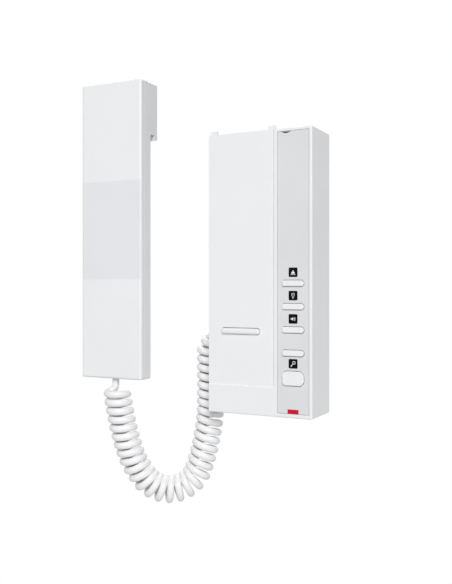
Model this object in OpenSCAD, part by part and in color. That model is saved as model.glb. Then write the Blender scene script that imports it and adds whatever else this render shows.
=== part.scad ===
// Wall-mounted audio intercom: a base with call buttons, a lifted handset and the curly cord between them.
// Millimetres. X runs to the right, Y into the wall, Z up. The origin is the middle of the base's back face.

/* [Base] */
// Width of the base
base_w = 80; // [78:1:96]
// Height of the base
base_h = 200; // [196:1:230]
// Depth of the base, from the wall to its front
base_d = 35; // [34:0.5:42]
// Thickness of the cover's side walls
cover_wall = 2.2; // [1.8:0.1:2.8]
// Thickness of the cover's front
cover_front = 3; // [2.8:0.1:3.6]
// Radius of the outer edges of the base
edge_r = 1; // [0.6:0.1:1]

/* [Handset bed] */
// Width of the shallow bed that the handset hangs in front of, from the base's left edge
bed_w = 52; // [47:0.5:53]
// Depth of the bed
bed_depth = 1.2; // [1.1:0.1:1.5]
// How far the bed reaches below the hung handset
bed_gap = 1.1; // [0.5:0.1:2]
// Width of a hook tab
tab_w = 5.5; // [4:0.5:7]
// Height of a hook tab above the base
tab_h = 2.5; // [1.5:0.1:3.5]
// Thickness of a hook tab
tab_t = 1.6; // [1.2:0.1:1.9]
// Distance between the middles of the two hook tabs
tab_span = 45.4; // [40:0.2:47.6]

/* [Handset] */
// Width of the handset
hs_w = 54; // [48:1:54]
// Length of the handset
hs_len = 223.2; // [218:0.2:228]
// Thickness of the handset's grip
hs_t = 13; // [12:0.5:16]
// Thickness of the handset at the ear block
ear_t = 22.4; // [22:0.2:27]
// Length of the ear block
ear_len = 43.1; // [42:0.1:50]
// Thickness of the handset's shells
shell_wall = 2; // [1.6:0.1:2.4]
// Depth of the front shell at its sides
front_shell_d = 5; // [4:0.1:5.4]
// Radius of the outer edges of the handset
hs_edge_r = 1.8; // [1:0.1:1.9]
// Width of the shadow line between the two shells
seam_w = 0.4; // [0.2:0.1:0.6]
// Depth of the shadow line
seam_d = 0.5; // [0.3:0.1:0.8]
// Width of the groove that takes the hook tabs
groove_w = 5.8; // [4.3:0.1:6]
// Height of the groove
groove_h = 3.7; // [3.4:0.1:5]
// Gap between the base's front and the back of the hung handset
hang_gap = 1.5; // [1.3:0.1:2]
// Gap between the base's top and the lip of the ear block
lip_gap = 1.4; // [0.6:0.1:1.6]
// How far the lifted handset is held to the left of its hung place
lift_off = 102.3; // [90:0.1:140]
// Length of the grip inlay
grip_len = 73.5; // [60:0.5:90]
// Distance from the handset's top to the inlay
grip_down = 74.8; // [60:0.2:90]
// Thickness of the grip inlay
grip_t = 0.8; // [0.5:0.1:1]

/* [Button panel] */
// Width of the button panel
panel_w = 23.1; // [22:0.1:24]
// Width of the cover's rim to the right of the panel
panel_rim = 2.3; // [1.4:0.1:2.6]
// Height of the cover's rim above the panel
panel_end = 2.4; // [1.8:0.1:3]
// Height of the cover's rim below the panel
panel_foot = 3.1; // [2.4:0.1:3.1]
// Thickness of the panel
panel_t = 1.5; // [1.2:0.1:1.7]
// Gap round the panel
panel_gap = 0.25; // [0.1:0.05:0.4]
// Width of the pry notch in the panel's top edge
notch_w = 7.4; // [4:0.2:10]
// Depth of the pry notch
notch_h = 1.4; // [0.6:0.1:1.6]
// Distance from the panel's left edge to the middle of the notch
notch_in = 6.4; // [5.5:0.1:12]

/* [Buttons] */
// Width of every button
button_w = 16; // [14:0.5:17]
// Height of a pill button
pill_h = 4.2; // [4:0.1:5.4]
// Height of the door button
door_h = 10; // [9:0.2:12]
// Corner radius of the door button
door_r = 4; // [2:0.2:4.4]
// Height of the lowest pill button above the base's bottom
pill_up = 44.7; // [42:0.1:48]
// Spacing of the pill buttons
pill_step = 16; // [14.5:0.1:18]
// Height of the door button above the base's bottom
door_up = 27.3; // [26:0.1:28]
// How far the buttons stand out of the panel
button_rise = 1.2; // [1:0.1:1.6]
// Travel of a button
button_travel = 1; // [0.6:0.1:1.2]
// Gap round a button
button_gap = 0.4; // [0.2:0.05:0.5]
// Radius of the edges of a button's face
button_round = 0.9; // [0.5:0.1:1]
// Overhang of the flange that keeps a button captive
flange_over = 1.2; // [0.8:0.1:1.4]
// Side of an icon tile
icon_size = 6.4; // [5:0.2:6.6]
// Thickness of an icon tile
icon_t = 0.8; // [0.5:0.1:0.9]
// Distance from a pill button up to its icon
icon_up = 7.6; // [7:0.1:8.2]
// Distance from the door button up to its icon
door_icon_up = 10.2; // [9.4:0.1:10.4]
// Width of the status light
light_w = 7.9; // [5:0.1:12]
// Height of the status light
light_h = 2.9; // [2:0.1:3]
// Height of the status light above the base's bottom
light_up = 4.5; // [4.4:0.1:6]

/* [Hook lever] */
// Width of the hook bar
hook_w = 29.8; // [24:0.2:36]
// Height of the hook bar
hook_h = 4.2; // [4:0.1:6]
// How far the hook bar stands out of the bed
hook_rise = 2; // [1.4:0.1:2.2]
// Height of the hook bar above the base's bottom
hook_up = 58.8; // [57:0.1:62]
// Distance of the hook bar's middle from the middle of the hung handset
hook_side = -1.3; // [-3:0.1:3]
// Radius of the edges of the hook bar's face
hook_round = 1.6; // [0.8:0.1:1.8]
// Distance from the hook bar down to its pivot
hook_arm = 32; // [28:0.5:34]
// Radius of the pivot pin
pin_r = 1.5; // [1.2:0.1:1.6]
// Gap round the hook bar
hook_gap = 0.2; // [0.2:0.05:0.5]

/* [Wall plate] */
// Thickness of the wall plate
plate_t = 2.4; // [2:0.1:3]
// Gap between the wall plate and the cover's walls
plate_gap = 0.3; // [0.2:0.05:0.6]
// Spacing of the fixing slots
slot_spacing = 60; // [50:1:61]
// Length of a fixing slot
slot_len = 8; // [6:0.5:9]
// Width of a fixing slot
slot_w = 4.4; // [4:0.1:5]
// Height of the fixing slots above the middle of the base
slot_up = 66; // [58:1:76]
// Width of the cable entry
entry_w = 34; // [24:1:40]
// Height of the cable entry
entry_h = 30; // [24:1:34]
// Height of the cable entry above the middle of the base
entry_up = 62; // [58:1:70]

/* [Inside the base] */
// Distance from the wall to the back of the circuit board
board_back = 20; // [19:0.2:20.4]
// Thickness of the circuit board
board_t = 1.6; // [1.2:0.1:2]
// Radius of the posts that carry the circuit board
post_r = 3; // [2.6:0.1:3.6]
// Radius of the screws' shanks
screw_r = 1.4; // [1.2:0.1:1.6]
// Radius of the screws' heads
screw_head_r = 2.6; // [2.2:0.1:2.8]
// Height of the screws' heads
screw_head_h = 1.2; // [1:0.1:1.4]
// Side of a key switch
key_size = 6; // [5:0.2:6.4]
// Radius of the ringer speaker
ringer_r = 13.2; // [11:0.2:13.4]
// Height of the ringer speaker
ringer_h = 11; // [9:0.5:12]

/* [Inside the handset] */
// Radius of the ear speaker
ear_speaker_r = 15; // [12:0.5:15.5]
// Depth of the ear speaker
ear_speaker_d = 7.5; // [6:0.5:8]
// Thickness of the ear speaker's gasket
gasket_t = 1.5; // [1:0.1:2]
// Radius of a sound hole in the ear block
sound_hole_r = 0.9; // [0.6:0.1:1.1]
// Radius of the microphone
mic_r = 4.85; // [3:0.05:5]
// Length of the microphone
mic_len = 5; // [4:0.1:5.4]
// Thickness of the microphone's boot
boot_t = 1.4; // [1:0.1:2]
// Height of the microphone above the handset's bottom
mic_up = 14; // [13.5:0.5:18]

/* [Cord] */
// Diameter of the cord
wire_d = 5.3; // [4.8:0.1:5.4]
// Radius of the curls, at the middle of the cord
coil_r = 7.8; // [7.4:0.1:8]
// Spacing of the curls on the straight stretches
coil_pitch = 6.5; // [6.4:0.1:7]
// Spacing of the curls at the bottom of the loop
coil_pitch_bend = 8.6; // [8.5:0.1:9.2]
// Radius of the bushes that the cord leaves through
bush_r = 3.8; // [3.4:0.1:4]

/* [Hidden] */
$fn = 48;

body_white = [0.93, 0.93, 0.94];
panel_grey = [0.87, 0.87, 0.88];
button_white = [0.95, 0.95, 0.95];
tile_black = [0.08, 0.08, 0.09];
signal_red = [0.84, 0.06, 0.22];
board_green = [0.1, 0.35, 0.2];
part_dark = [0.15, 0.15, 0.16];
metal = [0.75, 0.75, 0.77];

eps = 0.01;
seat_gap = 0.1;
through = 1;

// Places on the base
front_y = -base_d;
bottom_z = -base_h / 2;
top_z = base_h / 2;
inner_front_y = front_y + cover_front;
inner_x = base_w / 2 - cover_wall;
inner_z = base_h / 2 - cover_wall;
bed_right = -base_w / 2 + bed_w;
panel_x = base_w / 2 - panel_rim - panel_w / 2;
panel_back_y = front_y + panel_t;
panel_top = top_z - panel_end;
panel_bottom = bottom_z + panel_foot;
light_z = bottom_z + light_up;
notch_x = panel_x - panel_w / 2 + notch_in;
pry_w = notch_w * 0.9;

// Places of the handset, hung and lifted
hung_x = -base_w / 2 + hs_w / 2;
rest_x = hung_x - lift_off;
hs_back_y = front_y - hang_gap;
hs_front_y = hs_back_y - hs_t;
hs_mid_y = (hs_front_y + hs_back_y) / 2;
split_y = hs_front_y + front_shell_d;
ear_back_y = hs_front_y + ear_t;
lip_z = top_z + lip_gap;
hs_top = lip_z + ear_len;
hs_bottom = hs_top - hs_len;
hs_mid_z = (hs_top + hs_bottom) / 2;
bed_bottom = hs_bottom - bed_gap;
ear_floor = lip_z + groove_h + shell_wall;
ear_z = (ear_floor + hs_top - shell_wall) / 2;
mic_z = hs_bottom + mic_up;
hs_screw_in = 14;
hs_screw_up = 34;
hs_screw_zs = [lip_z - hs_screw_in, hs_bottom + hs_screw_up];
hs_screw_len = 8;
boss_wall = 1.6;
hs_boss_r = screw_r + boss_wall;
boss_floor = 1;

// Buttons, icons and the switches behind them
function pill_z(i) = bottom_z + pill_up + (i - 1) * pill_step;
door_z = bottom_z + door_up;
button_zs = [pill_z(1), pill_z(2), pill_z(3), pill_z(4), door_z];
icon_zs = [pill_z(2) + icon_up, pill_z(3) + icon_up, pill_z(4) + icon_up, door_z + door_icon_up];
icon_r = 0.8;
flange_play = 0.2;
flange_t = 1.2;
flange_y = panel_back_y + flange_play;
stem_r = 1.8;
board_front_y = -board_back - board_t;
key_body_h = 3.4;
key_cap_h = 0.8;
key_cap_y = board_front_y - key_body_h - key_cap_h;
stem_play = 0.15;
stem_end_y = key_cap_y - button_travel - stem_play;

// Hook lever
hook_x = hung_x + hook_side;
hook_z = bottom_z + hook_up;
hook_tip_y = front_y + bed_depth - hook_rise;
hook_sweep = 0.3;
lever_play = 0.3;
lever_t = 2.4;
lever_front_y = inner_front_y + lever_play;
hub_wall = 1;
hub_r = pin_r + hub_wall;
pivot_y = inner_front_y + lever_play + hub_r;
pivot_z = hook_z - hook_arm;
pin_play = 0.05;
pin_fit = 0.02;
lever_w = 16;
keeper = 2;
cheek_t = 2;
cheek_gap = 0.5;
cheek_over = 1;
cheek_x = lever_w / 2 + cheek_gap + cheek_t / 2;
pin_len = 2 * (cheek_x + cheek_t / 2);
switch_w = 12.8;
switch_h = 5.8;
switch_body = 5;
switch_down = 9;
switch_free = 1.9;
switch_tip = 2;
switch_z = hook_z - switch_down;
switch_tip_y = lever_front_y + lever_t + switch_free;

// Wall plate, board and what they carry
entry_r = 3;
plate_w = 2 * (inner_x - plate_gap);
plate_h = 2 * (inner_z - plate_gap);
board_clear = 1.8;
board_left = -inner_x + 7.8;
board_right = inner_x - board_clear;
board_top = 30;
board_bottom = -inner_z + board_clear;
board_step_x = 10;
board_step_z = bottom_z + 36;
post_in = 5;
post_down = 6;
post_low = bottom_z + 13;
post_spots = [[board_left + post_in, board_top - post_down], [board_right - post_in, board_top - post_down],
    [board_left + post_in, board_step_z + post_down], [board_right - post_in, post_low]];
board_screw_grip = 7;
post_hole = 8;
led_w = 3.2;
led_h = 1.6;
led_t = 1.2;
light_play = 0.2;
terminal_ways = 6;
terminal_pitch = 5;
terminal_h = 8.5;
terminal_d = 8;
terminal_screw_r = 1.7;
terminal_screw_down = 5;
terminal_screw_depth = 4;
cover_screw_y = -8;
cover_screw_len = 9;
cover_tab_w = 10;
cover_tab_h = 8;
ringer_in = 2;
ringer_x = -inner_x + ringer_r + ringer_in;
ringer_y = -(base_d - cover_front + plate_t) / 2 - 0.3;
ringer_rim = 2.5;
ringer_lip = 2;
ringer_dish = 1;
ringer_taper = 1.5;
collar_gap = 0.2;
collar_t = 0.8;
collar_h = 2.5;
sound_slot_w = 1.6;
sound_slot_step = 4;

// Curly cord: the middle of the curls lies in one upright plane, from the handset to the base's left side
base_clear = 0.3;
wall_clear = 0.5;
coil_out_r = coil_r + wire_d / 2;
arm_x = -base_w / 2 - base_clear - coil_out_r;
arm_y = -wall_clear - coil_out_r;
end_r = 2.5;
bush_flange_t = 1.5;
bush_flange_over = 1.2;
gland_up = 53.5;
gland_y = arm_y + end_r;
gland_z = bottom_z + gland_up;
span = norm([arm_x - rest_x, arm_y - hs_mid_y]);
along = [(arm_x - rest_x) / span, (arm_y - hs_mid_y) / span, 0];
across = [-along[1], along[0], 0];
lead_len = 6;
lead_turn = 0.45;
end_turn = 0.7;
end_lift = 2;
start_phase = 0.12;
// The route of the curls' middle: distance along the plane, and height
route = [[0, hs_bottom], [0, hs_bottom - lead_len], [1, -92], [3, -103], [5.6, -116], [9.3, -129], [14, -141.5],
    [19.8, -151], [23.6, -156], [28.6, -159.8], [34.4, -162.2], [40.6, -163], [46.8, -162.2],
    [52.6, -159.8], [57.6, -156], [61.4, -151], [64.3, -143.5], [67, -134], [69.4, -122.5],
    [71.3, -110], [span, -97], [span, -85], [span, -70], [span, gland_z - end_lift]];
route_steps = 8;
rings_per_curl = 8;
cord_sides = 6;

// A rounded rectangle, centred
module rounded_rect(w, h, r) {
    square([w - 2 * r, h], center = true);
    square([w, h - 2 * r], center = true);
    for (x = [-1, 1], y = [-1, 1])
        translate([x * (w / 2 - r), y * (h / 2 - r)])
            circle(r);
}

// A rectangle with half-round ends
module pill(w, h) {
    square([w - h, h], center = true);
    for (side = [-1, 1])
        translate([side * (w - h) / 2, 0])
            circle(h / 2);
}

// A side view whose front, at x = 0, has rounded corners
module front_rounded(depth, length, r) {
    translate([r, -length / 2])
        square([depth - r, length]);
    translate([0, -length / 2 + r])
        square([depth, length - 2 * r]);
    for (side = [-1, 1])
        translate([r, side * (length / 2 - r)])
            circle(r);
}

// Turns a flat outline to face the front, with its thickness running from y0 to y1
module upright(y0, y1) {
    translate([0, y1, 0])
        rotate([90, 0, 0])
            linear_extrude(y1 - y0)
                children();
}

// The outline given as a child, run from y0 to y1 with the edges of its front rounded
module soft_front(w, h, y0, y1, r) {
    intersection() {
        upright(y0, y1)
            children();
        translate([0, y0, 0])
            rotate([90, 0, 90])
                linear_extrude(w + 2 * through, center = true)
                    front_rounded(y1 - y0, h, r);
        translate([0, y0, 0])
            rotate([0, 0, 90])
                linear_extrude(h + 2 * through, center = true)
                    front_rounded(y1 - y0, w, r);
    }
}

// A box between two corners
module block(low, high) {
    translate(low)
        cube(high - low);
}

// A round bar along Y
module round_y(x, z, y0, y1, r) {
    translate([x, y1, z])
        rotate([90, 0, 0])
            cylinder(r = r, h = y1 - y0);
}

// A round bar along X
module round_x(y, z, x0, x1, r) {
    translate([x0, y, z])
        rotate([0, 90, 0])
            cylinder(r = r, h = x1 - x0);
}

module front_cover_shell() {
    difference() {
        soft_front(base_w, base_h, front_y, 0, edge_r)
            rounded_rect(base_w, base_h, edge_r);
        block([-inner_x, inner_front_y, -inner_z], [inner_x, through, inner_z]);
        block([-base_w / 2 - through, front_y - through, bed_bottom],
            [bed_right, front_y + bed_depth, top_z + through]);
    }
}

module hook_tabs() {
    for (side = [-1, 1])
        translate([hung_x + side * tab_span / 2, front_y + bed_depth, top_z - edge_r])
            translate([-tab_w / 2, 0, 0])
                cube([tab_w, tab_t, tab_h + edge_r]);
}

module hook_cheeks() {
    for (side = [-1, 1])
        block([hook_x + side * cheek_x - cheek_t / 2, inner_front_y - eps, pivot_z - hub_r - cheek_over],
            [hook_x + side * cheek_x + cheek_t / 2, pivot_y + hub_r, pivot_z + hub_r + cheek_over]);
}

module ringer_collar() {
    translate([ringer_x, ringer_y, -inner_z - eps])
        difference() {
            cylinder(r = ringer_r + collar_gap + collar_t, h = collar_h);
            translate([0, 0, -through])
                cylinder(r = ringer_r + collar_gap, h = collar_h + 2 * through);
        }
}

module sound_slots() {
    for (i = [-2:2])
        translate([ringer_x + i * sound_slot_step, ringer_y, 0])
            block([-sound_slot_w / 2, -ringer_r / 2, bottom_z - through],
                [sound_slot_w / 2, ringer_r / 2, -inner_z + through / 2]);
}

module hook_slot() {
    translate([hook_x, 0, hook_z + hook_sweep / 2])
        upright(front_y - through, inner_front_y + through)
            pill(hook_w + 2 * hook_gap + hook_sweep, hook_h + 2 * hook_gap + hook_sweep);
}

module button_outline(i, grow) {
    if (i < 4)
        pill(button_w + 2 * grow, pill_h + 2 * grow);
    else
        rounded_rect(button_w + 2 * grow, door_h + 2 * grow, door_r + grow);
}

// Pocket for the panel, and the openings behind the buttons' flanges, the status light and the pry notch
module panel_pocket() {
    block([panel_x - panel_w / 2 - panel_gap, front_y - through, panel_bottom - panel_gap],
        [panel_x + panel_w / 2 + panel_gap, panel_back_y, panel_top + panel_gap]);
    for (i = [0:4])
        translate([panel_x, 0, button_zs[i]])
            upright(front_y, inner_front_y + through)
                button_outline(i, flange_over + button_gap);
    translate([panel_x, 0, light_z])
        upright(front_y, inner_front_y + through)
            square([light_w + 2 * seat_gap, light_h + 2 * seat_gap], center = true);
    block([notch_x - pry_w / 2, front_y, panel_top - notch_h],
        [notch_x + pry_w / 2, inner_front_y + through, panel_top]);
}

module front_cover() {
    color(body_white)
        difference() {
            union() {
                front_cover_shell();
                hook_tabs();
                hook_cheeks();
                ringer_collar();
            }
            panel_pocket();
            hook_slot();
            sound_slots();
            round_x(pivot_y, pivot_z, hook_x - pin_len, hook_x + pin_len, pin_r + pin_fit);
            round_x(gland_y, gland_z, -base_w / 2 - through, -inner_x + through, bush_r + pin_fit);
            translate([0, cover_screw_y, bottom_z - through])
                cylinder(r = screw_r + seat_gap, h = cover_wall + 2 * through);
            translate([0, cover_screw_y, bottom_z - through])
                cylinder(r = screw_head_r + seat_gap, h = screw_head_h + through);
        }
}

module wall_plate() {
    color(body_white)
        difference() {
            union() {
                upright(-plate_t, 0)
                    square([plate_w, plate_h], center = true);
                for (spot = post_spots)
                    round_y(spot[0], spot[1], -board_back, -plate_t + eps, post_r);
                block([-cover_tab_w / 2, cover_screw_y - cover_tab_w / 2, -plate_h / 2],
                    [cover_tab_w / 2, -plate_t + eps, -plate_h / 2 + cover_tab_h]);
            }
            for (side = [-1, 1])
                translate([side * slot_spacing / 2, 0, slot_up])
                    upright(-plate_t - through, through)
                        pill(slot_len, slot_w);
            translate([0, 0, entry_up])
                upright(-plate_t - through, through)
                    rounded_rect(entry_w, entry_h, entry_r);
            for (spot = post_spots)
                round_y(spot[0], spot[1], -board_back - through, -board_back + post_hole, screw_r + pin_fit);
            translate([0, cover_screw_y, -plate_h / 2 - through])
                cylinder(r = screw_r + pin_fit, h = cover_screw_len + through);
        }
}

module button_panel() {
    notch_r = (notch_w * notch_w / 4 + notch_h * notch_h) / (2 * notch_h);
    color(panel_grey)
        difference() {
            block([panel_x - panel_w / 2, front_y, panel_bottom],
                [panel_x + panel_w / 2, panel_back_y, panel_top]);
            for (i = [0:4])
                translate([panel_x, 0, button_zs[i]])
                    upright(front_y - through, panel_back_y + through)
                        button_outline(i, button_gap);
            for (z = icon_zs)
                translate([panel_x, 0, z])
                    upright(front_y - through, front_y + icon_t)
                        rounded_rect(icon_size + 2 * seat_gap, icon_size + 2 * seat_gap, icon_r);
            block([panel_x - light_w / 2 - seat_gap, front_y - through, panel_bottom - through],
                [panel_x + light_w / 2 + seat_gap, panel_back_y + through, light_z + light_h / 2 + seat_gap]);
            round_y(notch_x, panel_top + notch_r - notch_h, front_y - through, panel_back_y + through, notch_r);
        }
}

module icon_tiles() {
    color(tile_black)
        for (z = icon_zs)
            translate([panel_x, 0, z])
                upright(front_y, front_y + icon_t)
                    rounded_rect(icon_size, icon_size, icon_r);
}

module status_light() {
    color(signal_red)
        translate([panel_x, 0, light_z])
            upright(front_y, board_front_y - led_t - light_play)
                square([light_w, light_h], center = true);
}

module status_led() {
    color(button_white)
        block([panel_x - led_w / 2, board_front_y - led_t, light_z - led_h / 2],
            [panel_x + led_w / 2, board_front_y, light_z + led_h / 2]);
}

module circuit_board() {
    color(board_green)
        difference() {
            union() {
                block([board_step_x, board_front_y, board_bottom], [board_right, -board_back, board_top]);
                block([board_left, board_front_y, board_step_z], [board_step_x + eps, -board_back, board_top]);
            }
            for (spot = post_spots)
                round_y(spot[0], spot[1], board_front_y - through, -board_back + through, screw_r + seat_gap);
        }
}

module key_switches() {
    color(part_dark)
        for (z = button_zs) {
            block([panel_x - key_size / 2, board_front_y - key_body_h, z - key_size / 2],
                [panel_x + key_size / 2, board_front_y, z + key_size / 2]);
            round_y(panel_x, z, key_cap_y, board_front_y - key_body_h + eps, stem_r);
        }
}

module hook_switch() {
    color(part_dark) {
        block([hook_x - switch_w / 2, board_front_y - switch_body, switch_z - switch_h / 2],
            [hook_x + switch_w / 2, board_front_y, switch_z + switch_h / 2]);
        block([hook_x - switch_tip / 2, switch_tip_y, switch_z - switch_tip / 2],
            [hook_x + switch_tip / 2, board_front_y - switch_body + eps, switch_z + switch_tip / 2]);
    }
}

// Screw terminals for the wires that come through the cable entry
module terminal_block() {
    half_w = terminal_ways * terminal_pitch / 2;
    face_y = board_front_y - terminal_d;
    color(part_dark)
        difference() {
            block([-half_w, face_y, board_top - terminal_h], [half_w, board_front_y, board_top]);
            for (i = [0:terminal_ways - 1])
                round_y((i + 0.5) * terminal_pitch - half_w, board_top - terminal_screw_down,
                    face_y - through, face_y + terminal_screw_depth, terminal_screw_r);
        }
}

// Small loudspeaker that faces down on the sound slots
module ringer_speaker() {
    color(part_dark)
        translate([ringer_x, ringer_y, -inner_z])
            rotate_extrude()
                polygon([[0, ringer_dish], [ringer_r - ringer_lip, ringer_dish], [ringer_r - ringer_lip, 0],
                    [ringer_r, 0], [ringer_r, ringer_rim], [ringer_r - ringer_taper, ringer_rim],
                    [ringer_r / 2, ringer_h / 2], [ringer_r / 2, ringer_h], [0, ringer_h]]);
}

module screw(length) {
    cylinder(r = screw_r, h = length);
    cylinder(r = screw_head_r, h = screw_head_h);
}

module cover_screw() {
    color(metal)
        translate([0, cover_screw_y, bottom_z])
            screw(cover_screw_len);
}

module board_screws() {
    color(metal)
        for (spot = post_spots)
            translate([spot[0], board_front_y - screw_head_h, spot[1]])
                rotate([-90, 0, 0])
                    screw(screw_head_h + board_t + board_screw_grip);
}

module hook_pivot_pin() {
    color(metal)
        round_x(pivot_y, pivot_z, hook_x - pin_len / 2, hook_x + pin_len / 2, pin_r);
}

// A bush in a wall, along Z: a plain barrel through the wall and a flange inside it
module bush(wall, flange_r) {
    cylinder(r = bush_r, h = wall + eps);
    translate([0, 0, wall])
        cylinder(r = flange_r, h = bush_flange_t);
}

module base_cord_bush() {
    color(part_dark)
        translate([-base_w / 2, gland_y, gland_z])
            rotate([0, 90, 0])
                bush(cover_wall, bush_r + bush_flange_over);
}

module handset_cord_bush() {
    color(part_dark)
        translate([rest_x, hs_mid_y, hs_bottom])
            bush(shell_wall, hs_t / 2 - shell_wall - seat_gap);
}

// The hook bar, the flange that keeps it in its slot, and the arm down to the pivot
module hook_lever() {
    color(body_white)
        difference() {
            union() {
                translate([hook_x, 0, hook_z])
                    soft_front(hook_w, hook_h, hook_tip_y, lever_front_y + eps, hook_round)
                        pill(hook_w, hook_h);
                block([hook_x - hook_w / 2 - keeper, lever_front_y, hook_z - hook_h / 2 - keeper],
                    [hook_x + hook_w / 2 + keeper, lever_front_y + lever_t, hook_z + hook_h / 2 + keeper]);
                block([hook_x - lever_w / 2, lever_front_y, pivot_z],
                    [hook_x + lever_w / 2, lever_front_y + lever_t, hook_z]);
                round_x(pivot_y, pivot_z, hook_x - lever_w / 2, hook_x + lever_w / 2, hub_r);
            }
            round_x(pivot_y, pivot_z, hook_x - lever_w, hook_x + lever_w, pin_r + pin_play);
        }
}

// A button cap with its captive flange and the stem that presses its switch
module button(i) {
    height = i < 4 ? pill_h : door_h;
    color(button_white)
        translate([panel_x, 0, button_zs[i]]) {
            soft_front(button_w, height, front_y - button_rise, flange_y + eps, button_round)
                button_outline(i, 0);
            upright(flange_y, flange_y + flange_t)
                button_outline(i, flange_over);
            round_y(0, 0, flange_y + flange_t - eps, stem_end_y, stem_r);
        }
}

// Side view of the whole handset: the grip, the ear block behind its top, and the hook groove
module handset_profile() {
    difference() {
        union() {
            translate([hs_front_y, hs_mid_z])
                front_rounded(hs_t, hs_len, hs_edge_r);
            translate([hs_back_y - eps, lip_z])
                square([ear_t - hs_t + eps - hs_edge_r, ear_len]);
            translate([hs_back_y - eps, lip_z + hs_edge_r])
                square([ear_t - hs_t + eps, ear_len - 2 * hs_edge_r]);
            for (z = [lip_z + hs_edge_r, hs_top - hs_edge_r])
                translate([ear_back_y - hs_edge_r, z])
                    circle(hs_edge_r);
        }
        translate([hs_back_y, lip_z - through])
            square([groove_w, groove_h + through]);
    }
}

module handset_outer() {
    translate([rest_x, 0, 0])
        intersection() {
            rotate([90, 0, 90])
                linear_extrude(hs_w + 2 * through, center = true)
                    handset_profile();
            translate([0, hs_front_y, hs_mid_z])
                rotate([0, 0, 90])
                    linear_extrude(hs_len + 2 * through, center = true)
                        front_rounded(ear_t, hs_w, hs_edge_r);
            translate([0, 0, hs_mid_z])
                upright(hs_front_y, ear_back_y)
                    rounded_rect(hs_w, hs_len, hs_edge_r);
        }
}

module handset_bush_hole() {
    translate([rest_x, hs_mid_y, hs_bottom - through])
        cylinder(r = bush_r + pin_fit, h = shell_wall + 2 * through);
}

// Shadow line round the back shell, where it meets the front shell
module handset_seam() {
    difference() {
        block([rest_x - hs_w, split_y - through, hs_bottom - through],
            [rest_x + hs_w, split_y + seam_w, hs_top + through]);
        block([rest_x - hs_w / 2 + seam_d, split_y - 2 * through, hs_bottom + seam_d],
            [rest_x + hs_w / 2 - seam_d, split_y + seam_w + through, hs_top - seam_d]);
    }
}

module handset_front() {
    inner_y = hs_front_y + shell_wall;
    color(body_white)
        difference() {
            union() {
                difference() {
                    intersection() {
                        handset_outer();
                        block([rest_x - hs_w, hs_front_y - through, hs_bottom - through],
                            [rest_x + hs_w, split_y, hs_top + through]);
                    }
                    block([rest_x - hs_w / 2 + shell_wall, inner_y, hs_bottom + shell_wall],
                        [rest_x + hs_w / 2 - shell_wall, split_y + through, hs_top - shell_wall]);
                    translate([rest_x, 0, hs_top - grip_down - grip_len / 2])
                        upright(hs_front_y - through, hs_front_y + grip_t)
                            square([hs_w + 2 * through, grip_len + 2 * pin_fit], center = true);
                }
                for (z = hs_screw_zs)
                    round_y(rest_x, z, inner_y - eps, hs_back_y - shell_wall, hs_boss_r);
            }
            for (z = hs_screw_zs)
                round_y(rest_x, z, inner_y + boss_floor, hs_back_y, screw_r + pin_fit);
            handset_bush_hole();
        }
}

module grip_inlay() {
    color(panel_grey)
        intersection() {
            handset_outer();
            translate([rest_x, 0, hs_top - grip_down - grip_len / 2])
                upright(hs_front_y - through, hs_front_y + grip_t)
                    square([hs_w + 2 * through, grip_len], center = true);
        }
}

// One hole in the middle and two rings of holes round it
module sound_holes() {
    ring_step = 4.5;
    round_y(rest_x, ear_z, ear_back_y - shell_wall - through, ear_back_y + through, sound_hole_r);
    for (ring = [1:2], i = [1:6 * ring])
        round_y(rest_x + ring * ring_step * cos(60 * i / ring), ear_z + ring * ring_step * sin(60 * i / ring),
            ear_back_y - shell_wall - through, ear_back_y + through, sound_hole_r);
}

module handset_back() {
    inner_x0 = rest_x - hs_w / 2 + shell_wall;
    inner_x1 = rest_x + hs_w / 2 - shell_wall;
    inner_back_y = hs_back_y - shell_wall;
    color(body_white)
        difference() {
            intersection() {
                handset_outer();
                block([rest_x - hs_w, split_y, hs_bottom - through],
                    [rest_x + hs_w, ear_back_y + through, hs_top + through]);
            }
            block([inner_x0, split_y - through, hs_bottom + shell_wall],
                [inner_x1, inner_back_y, hs_top - shell_wall]);
            block([inner_x0, inner_back_y - through, ear_floor],
                [inner_x1, ear_back_y - shell_wall, hs_top - shell_wall]);
            handset_seam();
            sound_holes();
            round_y(rest_x, mic_z, inner_back_y - through, hs_back_y + through, sound_hole_r);
            for (z = hs_screw_zs) {
                round_y(rest_x, z, inner_back_y - through, hs_back_y + through, screw_r + seat_gap);
                round_y(rest_x, z, hs_back_y - screw_head_h, hs_back_y + through, screw_head_r + seat_gap);
            }
            handset_bush_hole();
        }
}

module ear_gasket() {
    gasket_y = ear_back_y - shell_wall;
    gasket_w = 2;
    color(part_dark)
        difference() {
            round_y(rest_x, ear_z, gasket_y - gasket_t, gasket_y, ear_speaker_r);
            round_y(rest_x, ear_z, gasket_y - gasket_t - through, gasket_y + through, ear_speaker_r - gasket_w);
        }
}

// Earpiece: its frame on the gasket, its magnet towards the front
module ear_speaker() {
    magnet_r = ear_speaker_r * 0.55;
    rim_w = 2.5;
    rim_t = 1.8;
    dish = 0.8;
    color(metal)
        translate([rest_x, ear_back_y - shell_wall - gasket_t, ear_z])
            rotate([90, 0, 0])
                rotate_extrude()
                    polygon([[0, dish], [magnet_r, dish], [ear_speaker_r - rim_w, 0], [ear_speaker_r, 0],
                        [ear_speaker_r, rim_t], [magnet_r, ear_speaker_d / 2], [magnet_r, ear_speaker_d],
                        [0, ear_speaker_d]]);
}

module microphone() {
    mic_y = hs_back_y - shell_wall - boot_t;
    color(metal)
        round_y(rest_x, mic_z, mic_y - mic_len, mic_y, mic_r);
}

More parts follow.
